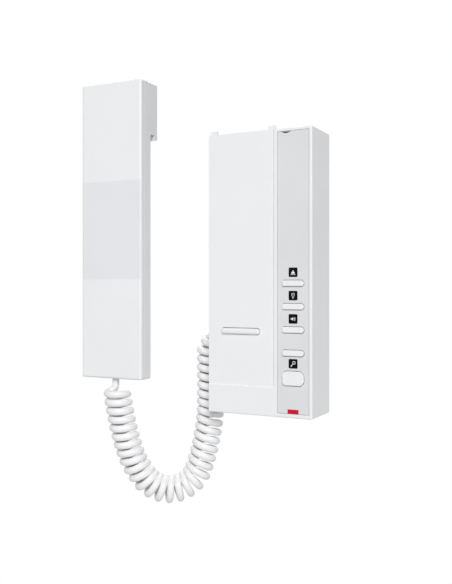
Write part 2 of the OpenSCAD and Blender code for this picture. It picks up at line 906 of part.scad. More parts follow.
// Soft cup that holds the microphone on the back shell, with a sound hole in its floor
module microphone_boot() {
    boot_y = hs_back_y - shell_wall;
    color(part_dark)
        difference() {
            round_y(rest_x, mic_z, boot_y - boot_t - mic_len, boot_y, mic_r + pin_fit + boot_t);
            round_y(rest_x, mic_z, boot_y - boot_t - mic_len - through, boot_y - boot_t, mic_r + pin_fit);
            round_y(rest_x, mic_z, boot_y - boot_t - through, boot_y + through, sound_hole_r);
        }
}

module handset_screws() {
    color(metal)
        for (z = hs_screw_zs)
            translate([rest_x, hs_back_y, z])
                rotate([90, 0, 0])
                    screw(hs_screw_len);
}

// Points of a smooth curve through the route's points
function smooth(a, b, c, d, t) = 0.5 * (2 * b + (c - a) * t + (2 * a - 5 * b + 4 * c - d) * t * t
    + (3 * b - a - 3 * c + d) * t * t * t);
last = len(route) - 1;
curve = [for (i = [0:last - 1], k = [0:route_steps - 1])
    smooth(route[max(i - 1, 0)], route[i], route[i + 1], route[min(i + 2, last)], k / route_steps),
    route[last]];

// Running totals of a list
function totals(steps, i = 0, sum = 0) =
    i == len(steps) ? [sum] : concat([sum], totals(steps, i + 1, sum + steps[i]));
stretch = [for (i = [0:len(curve) - 2]) norm(curve[i + 1] - curve[i])];
run = totals(stretch);
run_end = run[len(run) - 1];
run_h = [for (i = [0:len(curve) - 1]) [run[i], curve[i][0]]];
run_z = [for (i = [0:len(curve) - 1]) [run[i], curve[i][1]]];

// Curls counted along the route: close together on the straight stretches, wider round the bottom
bend_start = run_end * 0.2;
bend_full = run_end * 0.3;
bend_ease = run_end * 0.54;
bend_end = run_end * 0.6;
function pitch_at(s) = lookup(s, [[bend_start, coil_pitch], [bend_full, coil_pitch_bend],
    [bend_ease, coil_pitch_bend], [bend_end, coil_pitch]]);
curl_steps = [for (i = [0:len(curve) - 2])
    run[i] < lead_len ? 0 : stretch[i] / pitch_at((run[i] + run[i + 1]) / 2)];
curl_run = totals(curl_steps);
curl_sum = curl_run[len(curl_run) - 1];
curls = round(curl_sum - start_phase) + start_phase;
run_of_curl = [for (i = [0:len(curve) - 1]) if (run[i] >= lead_len) [curl_run[i] * curls / curl_sum, run[i]]];

function ease(t) = let (u = max(0, min(1, t))) u * u * (3 - 2 * u);
function middle(s) = [rest_x, hs_mid_y, 0] + lookup(s, run_h) * along + [0, 0, lookup(s, run_z)];
function heading(s) = let (d = middle(min(s + 2, run_end)) - middle(max(s - 2, 0))) d / norm(d);
function coil_radius(c) = coil_r * ease(c / lead_turn)
    + (end_r - coil_r) * ease((c - curls + end_turn) / end_turn);
// The curls end at the back of the loop, where the cord runs straight into the base
end_angle = atan2(across[1], along[1]);
function curl_angle(c) = end_angle + 360 * (curls - c);
function outward(s, c) = cos(curl_angle(c)) * cross(across, heading(s)) + sin(curl_angle(c)) * across;
function lift(c) = end_lift * ease((c - curls + end_turn) / end_turn);
function curl_point(c) = let (s = lookup(c, run_of_curl))
    middle(s) + coil_radius(c) * outward(s, c) + [0, 0, lift(c)];

ring_count = floor(curls * rings_per_curl);
curl_list = [for (i = [0:ring_count]) curls - (ring_count - i) / rings_per_curl];
exit_point = [rest_x, hs_mid_y, hs_bottom];
gland_point = [-base_w / 2, gland_y, gland_z];
cord_points = concat([exit_point, exit_point - [0, 0, wire_d]], [for (c = curl_list) curl_point(c)],
    [gland_point - [wire_d, 0, 0], gland_point]);
cord_outward = concat([outward(0, curl_list[0]), outward(0, curl_list[0])],
    [for (c = curl_list) outward(lookup(c, run_of_curl), c)], [[0, 1, 0], [0, 1, 0]]);

// Least gap between stretches of the cord that are over half a curl apart
half_curl = rings_per_curl / 2;
cord_last = len(cord_points) - 1;
least_gap = min([for (i = [0:cord_last - half_curl], j = [i + half_curl:cord_last])
    norm(cord_points[i] - cord_points[j])]) - wire_d;
cord_len = totals([for (i = [0:cord_last - 1]) norm(cord_points[i + 1] - cord_points[i])])[cord_last];
echo(curls = curls, least_gap = least_gap, cord_len = cord_len, run = run_end);

function unit(v) = v / norm(v);
function cord_heading(i) = i == 0 ? [0, 0, -1] : i >= cord_last - 1 ? [1, 0, 0]
    : unit(cord_points[i + 1] - cord_points[i - 1]);
function cord_ring(i) =
    let (t = cord_heading(i), o = cord_outward[i], u = unit(o - (o * t) * t), v = cross(t, u))
    [for (k = [0:cord_sides - 1])
        cord_points[i] + wire_d / 2 * (cos(360 * k / cord_sides) * u + sin(360 * k / cord_sides) * v)];

module curly_cord() {
    n = cord_sides;
    corners = [for (i = [0:cord_last]) each cord_ring(i)];
    sides = [for (i = [0:cord_last - 1], k = [0:n - 1]) let (a = i * n + k, b = i * n + (k + 1) % n)
        each [[a, a + n, b], [b, a + n, b + n]]];
    end = cord_last * n;
    caps = [for (k = [1:n - 2]) each [[0, k, k + 1], [end, end + k + 1, end + k]]];
    color(body_white)
        polyhedron(points = corners, faces = concat(sides, caps));
}

front_cover();
wall_plate();
button_panel();
icon_tiles();
status_light();
status_led();
circuit_board();
key_switches();
hook_switch();
terminal_block();
ringer_speaker();
cover_screw();
board_screws();
hook_pivot_pin();
base_cord_bush();
curly_cord();
hook_lever();
button(0);  // pill_button_1
button(1);  // pill_button_2
button(2);  // pill_button_3
button(3);  // pill_button_4
button(4);  // door_button
handset_front();
handset_back();
grip_inlay();
ear_speaker();
ear_gasket();
microphone();
microphone_boot();
handset_cord_bush();
handset_screws();
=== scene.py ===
"""Wall-mounted audio intercom: finishes, curly cord, bed slope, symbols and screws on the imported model."""
import math

import bmesh
import bpy
import numpy
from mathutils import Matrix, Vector


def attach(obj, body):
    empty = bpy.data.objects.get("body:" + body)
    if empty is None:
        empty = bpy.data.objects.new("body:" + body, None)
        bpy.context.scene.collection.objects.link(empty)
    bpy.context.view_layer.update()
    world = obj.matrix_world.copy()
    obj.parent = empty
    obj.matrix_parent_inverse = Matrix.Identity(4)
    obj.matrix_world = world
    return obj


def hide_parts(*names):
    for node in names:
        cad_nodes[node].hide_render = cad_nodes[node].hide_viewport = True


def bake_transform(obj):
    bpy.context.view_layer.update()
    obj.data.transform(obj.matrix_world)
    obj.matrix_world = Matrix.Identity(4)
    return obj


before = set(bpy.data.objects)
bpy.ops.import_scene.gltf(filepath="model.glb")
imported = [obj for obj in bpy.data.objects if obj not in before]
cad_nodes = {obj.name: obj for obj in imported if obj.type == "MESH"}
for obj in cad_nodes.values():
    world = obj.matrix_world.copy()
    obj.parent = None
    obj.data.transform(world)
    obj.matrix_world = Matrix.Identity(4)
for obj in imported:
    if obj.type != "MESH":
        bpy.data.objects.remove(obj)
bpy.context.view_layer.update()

MM = 0.001
SHARP_ANGLE = math.radians(40)

# Camera: level, on the right of the base, turned 27 degrees to the left
IMAGE_H = 584
FOCAL_PX = 770
SENSOR = 36
HORIZON_PX = 288.6
CAMERA_PLACE = (0.2249, -0.5263, -0.0109)
CAMERA_TURN = math.radians(27)

# Curly cord: its sizes, its ends, and its route as distance along an upright plane and height in millimetres
WIRE_D = 5.3 * MM
COIL_R = 7.8 * MM
CORD_EXIT = Vector((-115.3, -43, -78.7)) * MM
CORD_ARM = Vector((-50.75, -10.95, 0)) * MM
CORD_GLAND = Vector((-40, -8.45, -46.5)) * MM
CORD_SPAN = 72.069
CORD_ROUTE = [
    (0, -78.7), (0, -84.7), (1, -92), (3, -103), (5.6, -116), (9.3, -129), (14, -141.5), (19.8, -151),
    (23.6, -156), (28.6, -159.8), (34.4, -162.2), (40.6, -163), (46.8, -162.2), (52.6, -159.8),
    (57.6, -156), (61.4, -151), (64.3, -143.5), (67, -134), (69.4, -122.5), (71.3, -110),
    (CORD_SPAN, -97), (CORD_SPAN, -85), (CORD_SPAN, -70), (CORD_SPAN, -48.5),
]
ROUTE_STEPS = 8

# Pitch of the curls, and the shares of the route between which it turns into that of the bend and back
COIL_PITCH = 6.5 * MM
COIL_PITCH_BEND = 6.6 * MM
BEND_SHARES = (0.2, 0.3, 0.54, 0.6)

# Shift of the first curls, which keeps them clear of the base when the handset is hung, and where along the
# route it starts and ends
SWING = Vector((2.8, -3.4, 0)) * MM
SWING_FROM = 5 * MM
SWING_RISE = 7 * MM
SWING_UNTIL = 34 * MM
SWING_FADE = 40 * MM

# The straight lead, and how the curls open after it and close into the base
LEAD = 7 * MM
LEAD_TURN = 0.35
END_TURN = 0.7
END_LIFT = 2 * MM
END_R = 2.5 * MM
START_PHASE = 0.12

# Fineness of the cord, and the rounding of its turns near both ends
POINTS_PER_CURL = 48
RING_STEP = 1.1 * MM
CORD_SIDES = 20
HEADING_REACH = 2 * MM
STRAIGHT_END = 4 * MM
RELAXED_END = 14 * MM
RELAX_PASSES = 18
RELAX_SHARE = 0.5

# Merging of a node's vertices, and what counts as a flat or a round surface
MERGE = 0.004 * MM
LEAST_AREA = 1e-12
FLAT_SHARE = 0.9999
AXIS_TILT = 0.03
RADIUS_SPREAD = 0.02

# Moulded surface: the range of each noise that is used, and the depth of the grain
DRIFT_DETAIL = 3
DRIFT_RANGE = (0.35, 0.65)
GRAIN_DETAIL = 2
GRAIN_RANGE = (0.3, 0.7)
GRAIN_DEPTH = 0.1 * MM
TILE_SHINE = 0.05
LIGHT_SHINE = 0.08

# Tracks of the circuit board
TRACK_SCALE = 120
TRACK_W = 0.03
TRACK_OFFSET = 0.35

# Sloped step along the right edge of the handset bed, up to the base's rounded top edge
BED_RIGHT = 12 * MM
BED_FOOT = -79.8 * MM
BED_FLOOR = -33.8 * MM
BED_DEPTH = 1.2 * MM
BASE_TOP = 100 * MM
EDGE_R = 1 * MM
EDGE_STEPS = 6
SLOPE_W = 1 * MM
SLOPE_SINK = 0.02 * MM

# Icon tiles and their symbols
TILE_X = 26.15 * MM
TILE_FRONT = -35 * MM
TILE_ZS = {"bell": 0.3 * MM, "bulb": -15.7 * MM, "speaker": -31.7 * MM, "key": -62.5 * MM}
PRINT_T = 0.05 * MM

# Screws: the places of their heads in millimetres, and their sizes
SCREW_R = 1.4 * MM
SCREW_HEAD_R = 2.6 * MM
SCREW_HEAD_H = 1.2 * MM
RIM_SHARE = 0.86
HEAD_SIDES = 40
SHANK_SIDES = 24
RECESS_W = 0.7 * MM
RECESS_DEPTH = 0.8 * MM
RECESS_REACH = 1.2
HANDSET_SCREWS = [(-115.3, -36.5, 87.4), (-115.3, -36.5, -44.7)]
HANDSET_SCREW_LEN = 8 * MM
COVER_SCREW = [(0, -8, -100)]
COVER_SCREW_LEN = 9 * MM
BOARD_SCREWS = [(-25, -22.8, 24), (31, -22.8, 24), (-25, -22.8, -58), (31, -22.8, -87)]
BOARD_SCREW_LEN = 9.8 * MM
FACING_BACK = (-math.pi / 2, 0, 0)
FACING_DOWN = (math.pi, 0, 0)
FACING_FRONT = (math.pi / 2, 0, 0)

# Nodes that are shown by a smooth copy, with the body that each rides on and its slot
SMOOTHED = (
    ("front_cover", "base", "shell"),
    ("button_panel", "base", "panel"),
    ("hook_lever", "hook", "shell"),
    ("pill_button_1", "pill_button_1", "button"),
    ("pill_button_2", "pill_button_2", "button"),
    ("pill_button_3", "pill_button_3", "button"),
    ("pill_button_4", "pill_button_4", "button"),
    ("door_button", "door_button", "button"),
    ("handset_front", "handset", "shell"),
    ("handset_back", "handset", "shell"),
    ("grip_inlay", "handset", "grip"),
    ("wall_plate", "base", "shell"),
)

# Nodes that are shown as they are, with their finish
PAINTED = (
    ("icon_tiles", "tile"),
    ("status_light", "light"),
    ("status_led", "button"),
    ("circuit_board", "board"),
    ("key_switches", "dark"),
    ("hook_switch", "dark"),
    ("terminal_block", "dark"),
    ("ringer_speaker", "dark"),
    ("hook_pivot_pin", "steel"),
    ("base_cord_bush", "cord"),
    ("ear_speaker", "steel"),
    ("ear_gasket", "seal"),
    ("microphone", "steel"),
    ("microphone_boot", "seal"),
    ("handset_cord_bush", "cord"),
)

# Studio: the floor, the even light, and each lamp's place, aim, width, height and power
FLOOR_MIDDLE = (-0.04, 0, -0.75)
FLOOR_R = 1.2
FLOOR_SIDES = 96
EVEN_LIGHT = 0.2
LAMPS = {
    "key": ((1.6, -2.82, 1.9), (-0.04, -0.02, -0.05), 1.3, 2.0, 112),
    "fill": ((-0.4, -0.78, 0), (-0.08, -0.03, 0), 0.5, 0.8, 0.74),
    "side": ((0.6, 0.1, -0.3), (0.04, -0.018, 0), 0.2, 0.4, 0.37),
    "back": ((-1.2, 2, 2.2), (-0.04, -0.02, 0), 1.6, 1.6, 34),
}


def make_camera():
    lens = bpy.data.cameras.new("camera")
    lens.sensor_width = SENSOR
    lens.lens = FOCAL_PX * SENSOR / IMAGE_H
    lens.shift_y = (HORIZON_PX - IMAGE_H / 2) / IMAGE_H
    camera = bpy.data.objects.new("camera", lens)
    camera.location = CAMERA_PLACE
    camera.rotation_euler = (math.pi / 2, 0, CAMERA_TURN)
    bpy.context.collection.objects.link(camera)
    bpy.context.scene.camera = camera


def skin(shape, loops):
    """Adds a closed skin to a bmesh, through loops of points and across the first and the last of them."""
    rows = [[shape.verts.new(spot) for spot in loop] for loop in loops]
    for low, high in zip(rows, rows[1:]):
        for k in range(len(low)):
            after = (k + 1) % len(low)
            shape.faces.new((low[k], low[after], high[after], high[k]))
    shape.faces.new(list(reversed(rows[0])))
    shape.faces.new(rows[-1])


def finish_shape(name, shape):
    """A smooth-shaded object from a bmesh, with its normals outward."""
    bmesh.ops.recalc_face_normals(shape, faces=shape.faces)
    mesh = bpy.data.meshes.new(name)
    shape.to_mesh(mesh)
    shape.free()
    mesh.shade_smooth()
    mesh.set_sharp_from_angle(angle=SHARP_ANGLE)
    piece = bpy.data.objects.new(name, mesh)
    bpy.context.collection.objects.link(piece)
    return piece


def solid(name, loops):
    """One closed object through loops of points."""
    shape = bmesh.new()
    skin(shape, loops)
    return finish_shape(name, shape)


def ease(t):
    u = min(max(t, 0.0), 1.0)
    return u * u * (3 - 2 * u)


def smooth_between(a, b, c, d, t):
    """Point on the smooth curve from b to c, with a before them and d after."""
    bend = 2 * a - 5 * b + 4 * c - d
    turn = 3 * b - a - 3 * c + d
    return 0.5 * (2 * b + (c - a) * t + bend * t * t + turn * t * t * t)


def route_curve():
    """The route of the curls' middle in its own plane: distance along the plane, and height."""
    points = [Vector(spot) * MM for spot in CORD_ROUTE]
    last = len(points) - 1
    curve = []
    for i in range(last):
        near = [points[max(i - 1, 0)], points[i], points[i + 1], points[min(i + 2, last)]]
        curve += [smooth_between(*near, k / ROUTE_STEPS) for k in range(ROUTE_STEPS)]
    return curve + [points[last]]


def curl_counts(run, stretch):
    """The number of curls in all, and how many are done at each point of the route, none along the lead."""
    pitch = numpy.interp(
        (run[:-1] + run[1:]) / 2,
        run[-1] * numpy.array(BEND_SHARES),
        (COIL_PITCH, COIL_PITCH_BEND, COIL_PITCH_BEND, COIL_PITCH),
    )
    counts = numpy.concatenate(([0], numpy.cumsum(numpy.where(run[:-1] < LEAD, 0, stretch / pitch))))
    curls = round(counts[-1] - START_PHASE) + START_PHASE
    return curls, counts * curls / counts[-1]


class CordRoute:
    """Where the curls' middle runs, by the length s along it, and where the wire lies after c curls."""

    def __init__(self):
        curve = route_curve()
        stretch = numpy.array([(b - a).length for a, b in zip(curve, curve[1:])])
        self.run = numpy.concatenate(([0], numpy.cumsum(stretch)))
        self.curls, self.curl_run = curl_counts(self.run, stretch)
        self.heights = [spot.y for spot in curve]
        self.reaches = [spot.x for spot in curve]
        self.start = Vector((CORD_EXIT.x, CORD_EXIT.y, 0))
        self.along = (CORD_ARM - self.start).normalized()
        self.across = Vector((-self.along.y, self.along.x, 0))

    def length_at(self, c):
        curled = self.run >= LEAD
        return float(numpy.interp(c, self.curl_run[curled], self.run[curled]))

    def middle(self, s):
        spot = self.start + self.along * float(numpy.interp(s, self.run, self.reaches))
        return spot + Vector((0, 0, float(numpy.interp(s, self.run, self.heights))))

    def outward(self, s, c):
        ahead = self.middle(min(s + HEADING_REACH, self.run[-1])) - self.middle(max(s - HEADING_REACH, 0))
        angle = math.atan2(self.across.y, self.along.y) + 2 * math.pi * (self.curls - c)
        upright = self.across.cross(ahead.normalized())
        return math.cos(angle) * upright + math.sin(angle) * self.across


def swing(s):
    """The shift of the curls at the length s along the route."""
    return SWING * ease((s - SWING_FROM) / SWING_RISE) * ease(1 - (s - SWING_UNTIL) / SWING_FADE)


def cord_points():
    """Points along the whole cord: out of the handset, round the curls and into the base."""
    route = CordRoute()
    count = math.floor(route.curls * POINTS_PER_CURL)
    first = route.curls - count / POINTS_PER_CURL
    points = [CORD_EXIT, CORD_EXIT - Vector((0, 0, WIRE_D))]
    for i in range(count + 1):
        c = first + i / POINTS_PER_CURL
        s = route.length_at(c)
        closing = ease((c - route.curls + END_TURN) / END_TURN)
        radius = COIL_R * ease(c / LEAD_TURN) + (END_R - COIL_R) * closing
        lift = Vector((0, 0, END_LIFT * closing))
        points.append(route.middle(s) + swing(s) + radius * route.outward(s, c) + lift)
    return points + [CORD_GLAND - Vector((WIRE_D, 0, 0)), CORD_GLAND]


def cord_centreline():
    """The cord's points evenly spaced, with the turns from its straight ends into the curls rounded off."""
    points = numpy.array(cord_points())
    steps = numpy.linalg.norm(numpy.diff(points, axis=0), axis=1)
    reach = numpy.concatenate(([0], numpy.cumsum(steps)))
    places = numpy.linspace(0, reach[-1], round(reach[-1] / RING_STEP) + 1)
    line = numpy.stack([numpy.interp(places, reach, points[:, k]) for k in range(3)], axis=1)
    from_end = numpy.minimum(places, reach[-1] - places)
    fading = numpy.clip(2 - from_end / RELAXED_END, 0, 1)
    free = numpy.where(from_end < STRAIGHT_END, 0, fading)[1:-1, None]
    for _ in range(RELAX_PASSES):
        line[1:-1] += free * RELAX_SHARE * ((line[:-2] + line[2:]) / 2 - line[1:-1])
    return [Vector(spot) for spot in line]


def cord_rings(line):
    """A ring of points round each point of the line, turned as little as possible from the ring before."""
    side = Vector((0, 1, 0))
    turns = [2 * math.pi * k / CORD_SIDES for k in range(CORD_SIDES)]
    rings = []
    for i, place in enumerate(line):
        heading = (line[min(i + 1, len(line) - 1)] - line[max(i - 1, 0)]).normalized()
        side = (side - side.dot(heading) * heading).normalized()
        other = heading.cross(side)
        rings.append([place + WIRE_D / 2 * (math.cos(a) * side + math.sin(a) * other) for a in turns])
    return rings


def make_cord():
    """The curly cord in two lengths that meet at its lowest point, one from each end."""
    line = cord_centreline()
    rings = cord_rings(line)
    lowest = min(range(len(line)), key=lambda i: line[i].z)
    base_side = solid("cord_base_side", rings[lowest:])
    handset_side = solid("cord_handset_side", rings[:lowest + 1])
    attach(base_side, "base")
    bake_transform(handset_side)
    for piece, part, leaves in (
        (base_side, line[lowest:], CORD_GLAND),
        (handset_side, line[:lowest + 1], CORD_EXIT),
    ):
        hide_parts("curly_cord")
    return [base_side, handset_side]


def linear(red, green, blue):
    """A screen colour, 0 to 255, as the renderer's linear colour."""
    parts = [c / 255 for c in (red, green, blue)]
    return [c / 12.92 if c <= 0.04045 else ((c + 0.055) / 1.055) ** 2.4 for c in parts] + [1.0]


def add_node(tree, kind, values=None, **settings):
    """A node with its settings, and with the values of some of its input sockets."""
    node = tree.nodes.new(kind)
    for key, value in settings.items():
        setattr(node, key, value)
    for socket, value in (values or {}).items():
        node.inputs[socket].default_value = value
    return node


def add_sockets(tree, way, kind, *names):
    for name in names:
        tree.interface.new_socket(name, in_out=way, socket_type="NodeSocket" + kind)


def link_nodes(tree, *pairs):
    for source, target in pairs:
        tree.links.new(source, target)


def make_moulding_group():
    """Surface of a moulding: slow colour drift, a fine spark-eroded grain, and the roughness with it."""
    tree = bpy.data.node_groups.new("moulded_surface", "ShaderNodeTree")
    add_sockets(tree, "INPUT", "Color", "Colour", "Drift Colour")
    add_sockets(tree, "INPUT", "Float", "Drift Scale", "Grain Scale", "Smoothest", "Roughest")
    add_sockets(tree, "OUTPUT", "Color", "Colour")
    add_sockets(tree, "OUTPUT", "Float", "Roughness", "Height")
    given = add_node(tree, "NodeGroupInput")
    result = add_node(tree, "NodeGroupOutput")
    place = add_node(tree, "ShaderNodeTexCoord")
    drift = add_node(tree, "ShaderNodeTexNoise", {"Detail": DRIFT_DETAIL})
    grain = add_node(tree, "ShaderNodeTexNoise", {"Detail": GRAIN_DETAIL})
    spread = add_node(tree, "ShaderNodeMapRange", {"From Min": DRIFT_RANGE[0], "From Max": DRIFT_RANGE[1]})
    tint = add_node(tree, "ShaderNodeMix", data_type="RGBA")
    polish = add_node(tree, "ShaderNodeMapRange", {"From Min": GRAIN_RANGE[0], "From Max": GRAIN_RANGE[1]})
    link_nodes(
        tree,
        (place.outputs["Object"], drift.inputs["Vector"]),
        (place.outputs["Object"], grain.inputs["Vector"]),
        (given.outputs["Drift Scale"], drift.inputs["Scale"]),
        (given.outputs["Grain Scale"], grain.inputs["Scale"]),
        (drift.outputs["Fac"], spread.inputs["Value"]),
        (spread.outputs["Result"], tint.inputs["Factor"]),
        (given.outputs["Colour"], tint.inputs["A"]),
        (given.outputs["Drift Colour"], tint.inputs["B"]),
        (grain.outputs["Fac"], polish.inputs["Value"]),
        (given.outputs["Smoothest"], polish.inputs["To Min"]),
        (given.outputs["Roughest"], polish.inputs["To Max"]),
        (tint.outputs["Result"], result.inputs["Colour"]),
        (polish.outputs["Result"], result.inputs["Roughness"]),
        (grain.outputs["Fac"], result.inputs["Height"]),
    )
    return tree


def shader_of(material):
    return material.node_tree.nodes["Principled BSDF"]


def moulded(name, colour, drift, rough, grain=3200, bump=0.06, drift_scale=24):
    """A material with the moulded surface: its colour, the colour it drifts to, its range of roughness."""
    material = bpy.data.materials.new(name)
    material.use_nodes = True
    tree = material.node_tree
    shader = shader_of(material)
    surface = add_node(tree, "ShaderNodeGroup", node_tree=moulded_surface)
    surface.inputs["Colour"].default_value = linear(*colour)
    surface.inputs["Drift Colour"].default_value = linear(*drift)
    surface.inputs["Drift Scale"].default_value = drift_scale
    surface.inputs["Grain Scale"].default_value = grain
    surface.inputs["Smoothest"].default_value = rough[0]
    surface.inputs["Roughest"].default_value = rough[1]
    grain_bump = add_node(tree, "ShaderNodeBump", {"Strength": bump, "Distance": GRAIN_DEPTH})
    link_nodes(
        tree,
        (surface.outputs["Colour"], shader.inputs["Base Color"]),
        (surface.outputs["Roughness"], shader.inputs["Roughness"]),
        (surface.outputs["Height"], grain_bump.inputs["Height"]),
        (grain_bump.outputs["Normal"], shader.inputs["Normal"]),
    )
    return material


def make_steel():
    steel = moulded("bright_steel", (196, 197, 200), (176, 177, 181), (0.22, 0.38), grain=900, bump=0.1)
    shader_of(steel).inputs["Metallic"].default_value = 1
    return steel


def make_circuit_green():
    """Green solder mask with the paler lines of the copper under it."""
    green = moulded("circuit_green", (24, 92, 52), (20, 80, 46), (0.25, 0.4), grain=1500)
    tree = green.node_tree
    surface = tree.nodes["Group"]
    place = add_node(tree, "ShaderNodeTexCoord")
    turn = add_node(tree, "ShaderNodeMapping", {"Rotation": (math.pi / 2, 0, 0)})
    tracks = add_node(tree, "ShaderNodeTexBrick", offset=TRACK_OFFSET)
    tracks.inputs["Color1"].default_value = (0, 0, 0, 1)
    tracks.inputs["Color2"].default_value = (0, 0, 0, 1)
    tracks.inputs["Mortar"].default_value = (1, 1, 1, 1)
    tracks.inputs["Scale"].default_value = TRACK_SCALE
    tracks.inputs["Mortar Size"].default_value = TRACK_W
    copper = add_node(tree, "ShaderNodeMix", {"B": linear(58, 132, 78)}, data_type="RGBA")
    link_nodes(
        tree,
        (place.outputs["Object"], turn.inputs["Vector"]),
        (turn.outputs["Vector"], tracks.inputs["Vector"]),
        (tracks.outputs["Color"], copper.inputs["Factor"]),
        (surface.outputs["Colour"], copper.inputs["A"]),
        (copper.outputs["Result"], shader_of(green).inputs["Base Color"]),
    )
    return green


def make_finishes():
    finishes = {
        "shell": moulded("white_shell", (239, 240, 242), (237, 238, 240), (0.3, 0.38)),
        "grip": moulded("grip_band", (232, 233, 236), (230, 231, 234), (0.55, 0.7), grain=2200, bump=0.12),
        "panel": moulded("panel_satin", (223, 224, 226), (220, 221, 223), (0.38, 0.5)),
        "button": moulded("button_white", (241, 241, 242), (239, 239, 240), (0.28, 0.38), bump=0.03),
        "tile": moulded("tile_black", (8, 8, 9), (12, 12, 13), (0.3, 0.4), bump=0.03),
        "symbol": moulded("symbol_white", (240, 240, 240), (232, 232, 233), (0.45, 0.6), grain=5000),
        "light": moulded(
            "signal_red", (216, 16, 58), (204, 12, 50), (0.16, 0.26), bump=0.03, drift_scale=300
        ),
        "dark": moulded("black_moulding", (38, 38, 40), (46, 46, 48), (0.4, 0.55)),
        "seal": moulded("seal_rubber", (58, 58, 60), (48, 48, 50), (0.65, 0.85), grain=1400, bump=0.3),
        "cord": moulded("cord_sleeve", (243, 243, 244), (240, 240, 241), (0.34, 0.46), grain=1800),
        "steel": make_steel(),
        "board": make_circuit_green(),
    }
    shader_of(finishes["tile"]).inputs["Specular IOR Level"].default_value = TILE_SHINE
    shader_of(finishes["light"]).inputs["Specular IOR Level"].default_value = LIGHT_SHINE
    return finishes


def dress(piece, material):
    """Gives a new piece its one material."""
    piece.data.materials.clear()
    piece.data.materials.append(material)


def paint(name, material):
    """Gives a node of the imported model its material, in every place."""
    node = cad_nodes[name]
    if not node.material_slots:
        node.data.materials.append(material)
    for place in node.material_slots:
        place.material = material


def faces_by_surface(mesh):
    """The faces of a node's mesh in groups that share vertices: each group is one surface of the solid."""
    leader = list(range(len(mesh.vertices)))

    def root(i):
        while leader[i] != i:
            leader[i] = leader[leader[i]]
            i = leader[i]
        return i

    for face in mesh.polygons:
        for corner in face.vertices[1:]:
            leader[root(corner)] = root(face.vertices[0])
    groups = {}
    for face in mesh.polygons:
        groups.setdefault(root(face.vertices[0]), []).append(face)
    return groups.values()


def round_centre(spots, slopes):
    """For a surface that is part of a cylinder, a point on its axis, and the axis. For others, None."""
    axes = numpy.linalg.svd(slopes)[2]
    if numpy.abs(slopes @ axes[2]).max() > AXIS_TILT:
        return None
    flat = spots @ axes[:2].T
    terms = numpy.column_stack((2 * flat, numpy.ones(len(flat))))
    middle = numpy.linalg.lstsq(terms, (flat ** 2).sum(axis=1), rcond=None)[0][:2]
    reach = numpy.linalg.norm(flat - middle, axis=1)
    if numpy.ptp(reach) > RADIUS_SPREAD * reach.mean():
        return None
    return middle @ axes[:2], axes[2]


def true_normals(mesh, faces):
    """The normal of one surface of the solid at each corner of its faces."""
    slopes = numpy.array([face.normal for face in faces if face.area > LEAST_AREA])
    lean = slopes.mean(axis=0)
    corners = sorted({i for face in faces for i in face.vertices})
    spots = numpy.array([mesh.vertices[i].co for i in corners])
    if (slopes @ lean).min() > FLAT_SHARE * numpy.linalg.norm(lean):
        return {i: lean for i in corners}
    found = round_centre(spots, slopes)
    if found is None:
        return {i: mesh.vertices[i].normal for i in corners}
    middle, axis = found
    arms = spots - middle
    spokes = arms - numpy.outer(arms @ axis, axis)
    arm_at = dict(zip(corners, arms))
    outward = sum(arm_at[face.vertices[0]] @ numpy.array(face.normal) for face in faces)
    return dict(zip(corners, spokes * numpy.sign(outward)))


def smooth_copy(name, body, finishes, slot):
    """A merged copy of a node, shaded by the true normals of the solid's flat and round surfaces."""
    node_mesh = cad_nodes[name].data
    places = {}
    merged = []
    for vertex in node_mesh.vertices:
        cell = tuple(round(c / MERGE) for c in vertex.co)
        merged.append(places.setdefault(cell, len(places)))
    spots = {new: node_mesh.vertices[old].co for old, new in enumerate(merged)}
    faces = []
    normals = []
    for group in faces_by_surface(node_mesh):
        slopes = true_normals(node_mesh, group)
        for face in group:
            corners = [merged[i] for i in face.vertices]
            if len(set(corners)) == 3:
                faces.append(corners)
                normals += [Vector(slopes[i]).normalized() for i in face.vertices]
    mesh = bpy.data.meshes.new(name + "_finish")
    mesh.from_pydata([spots[i] for i in range(len(places))], [], faces)
    mesh.shade_smooth()
    mesh.normals_split_custom_set(normals)
    piece = bpy.data.objects.new(name + "_finish", mesh)
    bpy.context.collection.objects.link(piece)
    dress(piece, finishes[slot])
    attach(piece, body)
    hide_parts(name)


def make_bed_slope(finishes):
    """The slope between the bed's floor and the front face, along the bed's right edge."""
    levels = [(BED_FOOT, BED_DEPTH)]
    for k in range(EDGE_STEPS + 1):
        turn = math.pi / 2 * k / EDGE_STEPS
        height = BASE_TOP - EDGE_R * (1 - math.sin(turn))
        levels.append((height, BED_DEPTH - EDGE_R * (1 - math.cos(turn))))
    loops = []
    for z, depth in levels:
        front = (BED_RIGHT, BED_FLOOR - depth, z)
        foot = (BED_RIGHT - SLOPE_W * depth / BED_DEPTH, BED_FLOOR, z)
        hidden = (BED_RIGHT + SLOPE_SINK, BED_FLOOR + SLOPE_SINK, z)
        loops.append((front, foot, hidden))
    piece = solid("bed_slope", loops)
    dress(piece, finishes["shell"])
    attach(piece, "base")


def arc(x, z, r, start, end, steps=20):
    turns = [math.radians(start + (end - start) * k / steps) for k in range(steps + 1)]
    return [(x + r * math.cos(a), z + r * math.sin(a)) for a in turns]


def disc(x, z, r, sides=20):
    return arc(x, z, r, 0, 360 - 360 / sides, sides - 1)


def bow(x, z, inner, outer, start, end):
    """Part of a ring."""
    return arc(x, z, outer, start, end) + arc(x, z, inner, end, start)


def bar(x0, z0, x1, z1):
    return [(x0, z0), (x1, z0), (x1, z1), (x0, z1)]


def slanted_bar(x0, z0, x1, z1, width):
    reach = math.hypot(x1 - x0, z1 - z0)
    dx = (z0 - z1) / reach * width / 2
    dz = (x1 - x0) / reach * width / 2
    return [(x0 + dx, z0 + dz), (x0 - dx, z0 - dz), (x1 - dx, z1 - dz), (x1 + dx, z1 + dz)]


